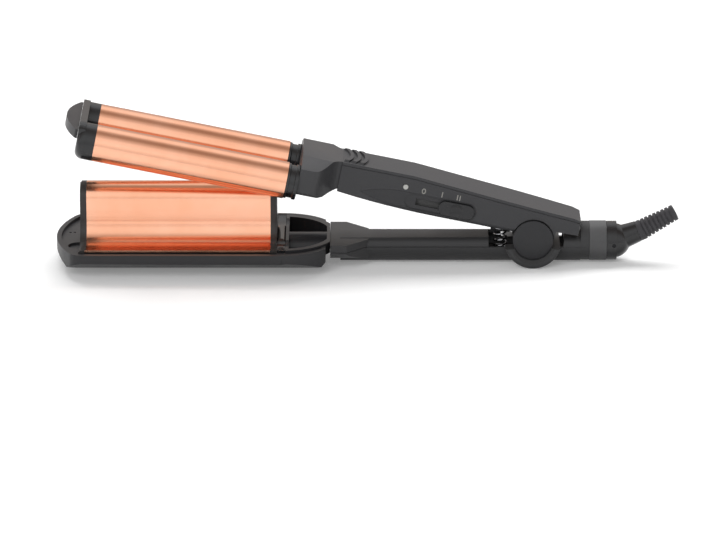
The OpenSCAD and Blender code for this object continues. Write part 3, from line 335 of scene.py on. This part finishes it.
def soften(obj, width):
    """Rounds the object's sharp edges and keeps its flat faces flat in shading."""
    weld = obj.modifiers.new("weld", "WELD")
    weld.merge_threshold = WELD_REACH
    bevel = obj.modifiers.new("soft edges", "BEVEL")
    bevel.width = width
    bevel.segments = EDGE_SEGMENTS
    bevel.limit_method = "ANGLE"
    bevel.angle_limit = EDGE_TURN
    bevel.use_clamp_overlap = True
    bevel.harden_normals = False
    normals = obj.modifiers.new("normals", "WEIGHTED_NORMAL")
    normals.keep_sharp = False
    normals.weight = FACE_WEIGHT


# the tilt pins' slot is steel, but no bright dot shows in the photograph, so they look blackened
finish_of = {row["node"]: row["material_slot"] for row in frame["record"]["subparts"]}
finish_of["tilt_pins"] = "black_pin"
for name, obj in frame["nodes"].items():
    obj.data.materials.clear()
    obj.data.materials.append(MATERIALS[finish_of[name]])
    if name in EDGES:
        soften(obj, EDGES[name])


# ---------------------------------------------------------------- pieces made here
def add_piece(name, vertices, faces, material, slot, body):
    """A piece that has no CAD node, with its material, on the body that carries it; the slot
    argument is not used.
    """
    mesh = bpy.data.meshes.new(name)
    mesh.from_pydata(vertices, [], faces)
    mesh.validate()
    mesh.materials.append(MATERIALS[material])
    piece = add_object(name, mesh)
    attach(piece, body)
    return piece


# the return spring: round wire with closed end coils, in the place of its CAD node
WIRE = 0.0006  # the wire's radius
TURNS, STEPS, SIDES = 5.0, 48, 14
CLIMB, FLAT = 1.25, 0.125  # the wire climbs over its middle four fifths and lies flat at its ends
SWAY = 0.02  # evens out where the climb starts and stops


def coil(foot, radius, rise):
    """The vertices and faces of the coiled wire, which stands on foot."""
    vertices, faces = [], []
    count = int(TURNS * STEPS)
    for i in range(count + 1):
        a = 2 * math.pi * i / STEPS
        t = min(1.0, max(0.0, i / count * CLIMB - FLAT))
        t = t + SWAY * math.sin(2 * math.pi * t)
        out = Vector((math.cos(a), math.sin(a), 0.0))
        centre = foot + out * radius + Vector((0.0, 0.0, WIRE + rise * t))
        for k in range(SIDES):
            b = 2 * math.pi * k / SIDES
            up = Vector((0.0, 0.0, WIRE * math.sin(b)))
            vertices.append(centre + out * (WIRE * math.cos(b)) + up)
    for i in range(count):
        for k in range(SIDES):
            m, n = i * SIDES, (k + 1) % SIDES
            faces.append((m + k, m + n, m + SIDES + n, m + SIDES + k))
    faces.append(tuple(range(SIDES - 1, -1, -1)))
    faces.append(tuple(count * SIDES + k for k in range(SIDES)))
    return vertices, faces


low, high = (Vector(corner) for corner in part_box("return_spring"))
foot = Vector(((low.x + high.x) / 2, (low.y + high.y) / 2, low.z))
wire_mesh = coil(foot, (high.x - low.x) / 2 - WIRE, high.z - low.z - 2 * WIRE)
spring = add_piece("coil_spring", *wire_mesh, "spring_steel", "spring_steel", "lower_arm")
for face in spring.data.polygons:
    face.use_smooth = len(face.vertices) == 4  # the two cut ends stay flat
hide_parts("return_spring")
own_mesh(spring)

# printed position marks 0, I and II beside the slide knob, drawn with the arms closed, then opened
HINGE = Vector((0.0987, 0.0, 0.0171))
OPEN_ANGLE = math.radians(11.6)
OPEN = (
    Matrix.Translation(HINGE)
    @ Matrix.Rotation(OPEN_ANGLE, 4, "Y")
    @ Matrix.Translation(-HINGE)
)
PANEL_Y, MARK_Z = -0.0144, 0.0339  # the panel's face and the marks' middle height
INK = 0.00005  # half the thickness of the print
MARK_H, STROKE = 0.0034, 0.00055
RING_HALF, RING_STEPS = 0.36 * MARK_H, 32
END_STEPS = 7  # steps round each end of a bar
MARK_0_X, MARK_I_X, MARK_II_X = 0.0287, 0.0399, (0.0491, 0.0507)


def ring_mark(x):
    """An upright oval ring as two outlines, the outer one first."""
    outer, inner = [], []
    for k in range(RING_STEPS):
        a = 2 * math.pi * k / RING_STEPS
        c, s = math.cos(a), math.sin(a)
        outer.append((x + RING_HALF * c, MARK_H / 2 * s))
        inner.append((x + (RING_HALF - STROKE) * c, (MARK_H / 2 - STROKE) * s))
    return outer, inner


def bar_mark(x):
    """The outline of an upright bar with round ends, the top one first."""
    r = STROKE / 2
    points = []
    for first, side in ((0, 1), (END_STEPS, -1)):
        for k in range(END_STEPS + 1):
            a = math.pi * (first + k) / END_STEPS
            points.append((x + r * math.cos(a), (MARK_H / 2 - r) * side + r * math.sin(a)))
    return points


def mark_piece(name, bars=(), rings=()):
    """One mark as a thin closed solid, from the outlines of its bars and rings."""
    vertices, faces = [], []

    def lay(points):
        """Adds an outline's back and front copy, and returns its first index and its length."""
        start = len(vertices)
        for y in (PANEL_Y - INK, PANEL_Y + INK):
            vertices.extend(OPEN @ Vector((x, y, MARK_Z + z)) for x, z in points)
        return start, len(points)

    for points in bars:
        a, n = lay(points)
        faces.append(tuple(a + k for k in range(n)))
        faces.append(tuple(a + n + k for k in range(n - 1, -1, -1)))
        for k in range(n):
            m = (k + 1) % n
            faces.append((a + k, a + n + k, a + n + m, a + m))
    for outer, inner in rings:
        a, n = lay(outer)
        b, n = lay(inner)
        for k in range(n):
            m = (k + 1) % n
            faces.append((a + k, a + m, b + m, b + k))
            faces.append((a + n + k, b + n + k, b + n + m, a + n + m))
            faces.append((a + k, a + n + k, a + n + m, a + m))
            faces.append((b + k, b + m, b + n + m, b + n + k))
    return add_piece(name, vertices, faces, "mark_ink", "lens_plastic", "upper_arm")


mark_piece("mark_0", rings=[ring_mark(MARK_0_X)])
mark_piece("mark_I", bars=[bar_mark(MARK_I_X)])
mark_piece("mark_II", bars=[bar_mark(x) for x in MARK_II_X])


# ---------------------------------------------------------------- studio
def area(name, spot, aim, size, power):
    """A rectangular lamp at spot, turned to aim, that doesn't show in reflections."""
    data = bpy.data.lights.new(name, "AREA")
    data.shape = "RECTANGLE"
    data.size, data.size_y = size
    data.energy = power
    lamp = add_object(name, data)
    lamp.location = spot
    lamp.rotation_euler = (Vector(aim) - Vector(spot)).to_track_quat("-Z", "Y").to_euler()
    lamp.visible_glossy = False


area("top_light", spot=(0.0, 0.9, 1.6), aim=(0.0, 0.0, 0.0), size=(2.2, 1.2), power=36.0)
area("front_light", spot=(-0.5, -1.6, 1.1), aim=(0.0, 0.0, 0.05), size=(1.2, 0.8), power=14.0)

# for reflections the studio is a ring of soft boxes with dimmer gaps, by angle from straight up
# (negative behind the object, positive in front of it)
SOFT_BOXES = (
    (-180, 0.6), (-120, 0.5), (-92, 0.45), (-62, 0.7), (-42, 1.15),
    (-24, 1.15), (-12, 0.65), (0, 0.4), (12, 0.42), (26, 0.7),
    (44, 1.1), (66, 1.2), (90, 0.95), (130, 0.95), (180, 0.8),
)
PEAK = 1.25  # the ramp holds strengths as shares of this one
WARM_BELOW, GREEN_LOSS, BLUE_LOSS = 0.9, 0.3, 0.5  # the dimmer a band, the warmer its tint
FILL = 0.3  # how bright the studio is for all other light
BACKDROP = 1.0  # how bright it is for the camera

world = bpy.data.worlds.new("studio")
bpy.context.scene.world = world
world.use_nodes = True
sky = world.node_tree
sky.nodes.clear()

direction = add_node(sky, "ShaderNodeTexCoord").outputs["Generated"]
split = add_node(sky, "ShaderNodeSeparateXYZ", Vector=direction)
to_front = calculate(sky, "MULTIPLY", split.outputs["Y"], -1.0)
around = calculate(sky, "ARCTAN2", to_front, split.outputs["Z"])
turn = calculate(sky, "ADD", calculate(sky, "MULTIPLY", around, 0.5 / math.pi), 0.5)
ramp = add_node(sky, "ShaderNodeValToRGB", Fac=turn)
ramp.color_ramp.interpolation = "EASE"
stops = ramp.color_ramp.elements
stops.remove(stops[1])
for i, (degrees, strength) in enumerate(SOFT_BOXES):
    stop = stops[0] if i == 0 else stops.new((degrees + 180) / 360)
    warm = max(0.0, WARM_BELOW - strength)
    green = strength * (1 - GREEN_LOSS * warm)
    blue = strength * (1 - BLUE_LOSS * warm)
    stop.color = (strength / PEAK, green / PEAK, blue / PEAK, 1.0)


def background(strength, colour=WHITE):
    """The output of a Background node."""
    return add_node(sky, "ShaderNodeBackground", Color=colour, Strength=strength).outputs[0]


ray = add_node(sky, "ShaderNodeLightPath").outputs
boxes = background(PEAK, ramp.outputs["Color"])
reflected = mix_shaders(sky, ray["Is Glossy Ray"], background(FILL), boxes)
direct = calculate(sky, "MAXIMUM", ray["Is Camera Ray"], ray["Is Transmission Ray"])
studio = mix_shaders(sky, direct, reflected, background(BACKDROP))
add_node(sky, "ShaderNodeOutputWorld", Surface=studio)

# floor: pale and matte, lifted to white for the camera, so the object's shadow stays; it throws
# less light back up at the object than the camera sees
FLOOR_HALF = 8.0
FLOOR_DROP = 0.0001  # just under the part
FLOOR_SEEN, FLOOR_THROWN = (0.86, 0.86, 0.86, 1.0), (0.4, 0.4, 0.4, 1.0)
FLOOR_LIFT = 0.2

h = FLOOR_HALF
floor_mesh = bpy.data.meshes.new("floor")
corners = [(-h, -h, 0.0), (h, -h, 0.0), (h, h, 0.0), (-h, h, 0.0)]
floor_mesh.from_pydata(corners, [], [(0, 1, 2, 3)])
floor = add_object("floor", floor_mesh)
floor.location.z = -FLOOR_DROP
ground = Shader("floor")
ground.set(Base_Color=FLOOR_SEEN, Roughness=0.9, Specular_IOR_Level=0.1)
earth = ground.tree
ray = add_node(earth, "ShaderNodeLightPath").outputs
dim = add_node(earth, "ShaderNodeBsdfDiffuse", Color=FLOOR_THROWN).outputs[0]
matte = mix_shaders(earth, ray["Is Diffuse Ray"], ground.bsdf.outputs[0], dim)
shown = calculate(earth, "MAXIMUM", ray["Is Camera Ray"], ray["Is Glossy Ray"])
dark = add_node(earth, "ShaderNodeEmission", Strength=0.0).outputs[0]
lift = add_node(earth, "ShaderNodeEmission", Strength=FLOOR_LIFT).outputs[0]
both = earth.nodes.new("ShaderNodeAddShader")
feed(earth, both.inputs[0], matte)
feed(earth, both.inputs[1], mix_shaders(earth, shown, dark, lift))
feed(earth, earth.nodes["Material Output"].inputs["Surface"], both.outputs[0])
floor_mesh.materials.append(ground.mat)
